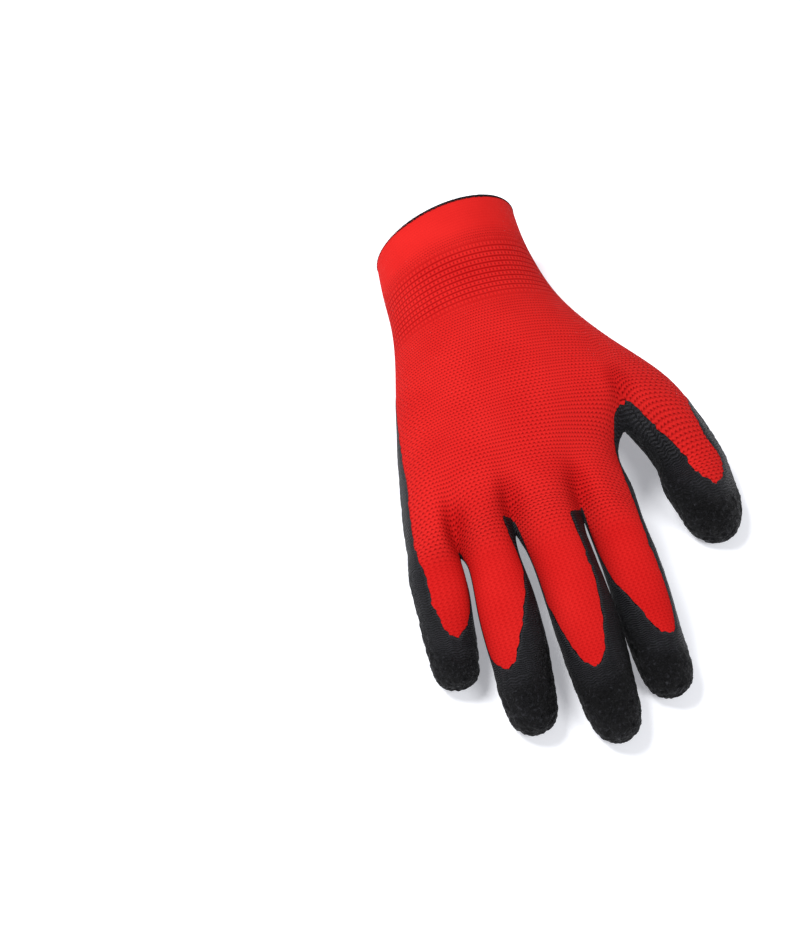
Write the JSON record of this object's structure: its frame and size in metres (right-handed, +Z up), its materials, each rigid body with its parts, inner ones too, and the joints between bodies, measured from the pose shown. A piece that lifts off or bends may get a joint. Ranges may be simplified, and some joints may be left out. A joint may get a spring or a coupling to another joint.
{
  "type": "coated work glove",
  "caption": "Right-hand seamless knit work glove, palm and fingertips dipped in crinkle latex, elastic cuff with an overlocked rim, lying back up.",
  "frame": {"origin": "middle of the glove's bounding rectangle, on the surface that it lies on", "axes": "+Z up, -Y towards the fingertips, +Y out of the cuff, +X towards the thumb"},
  "size_m": [0.136, 0.242, 0.05],
  "materials": {
    "red_knit": "seamless nylon knit, matt with a faint sheen",
    "black_latex": "crinkle latex dip, satin where thin at its edge and matt on the palm and tips",
    "black_thread": "dense overlock stitching, matt"
  },
  "bodies": {
    "root": {"knit_shell": "red_knit", "latex_coating": "black_latex", "cuff_overlock": "black_thread"}
  },
  "joints": []
}
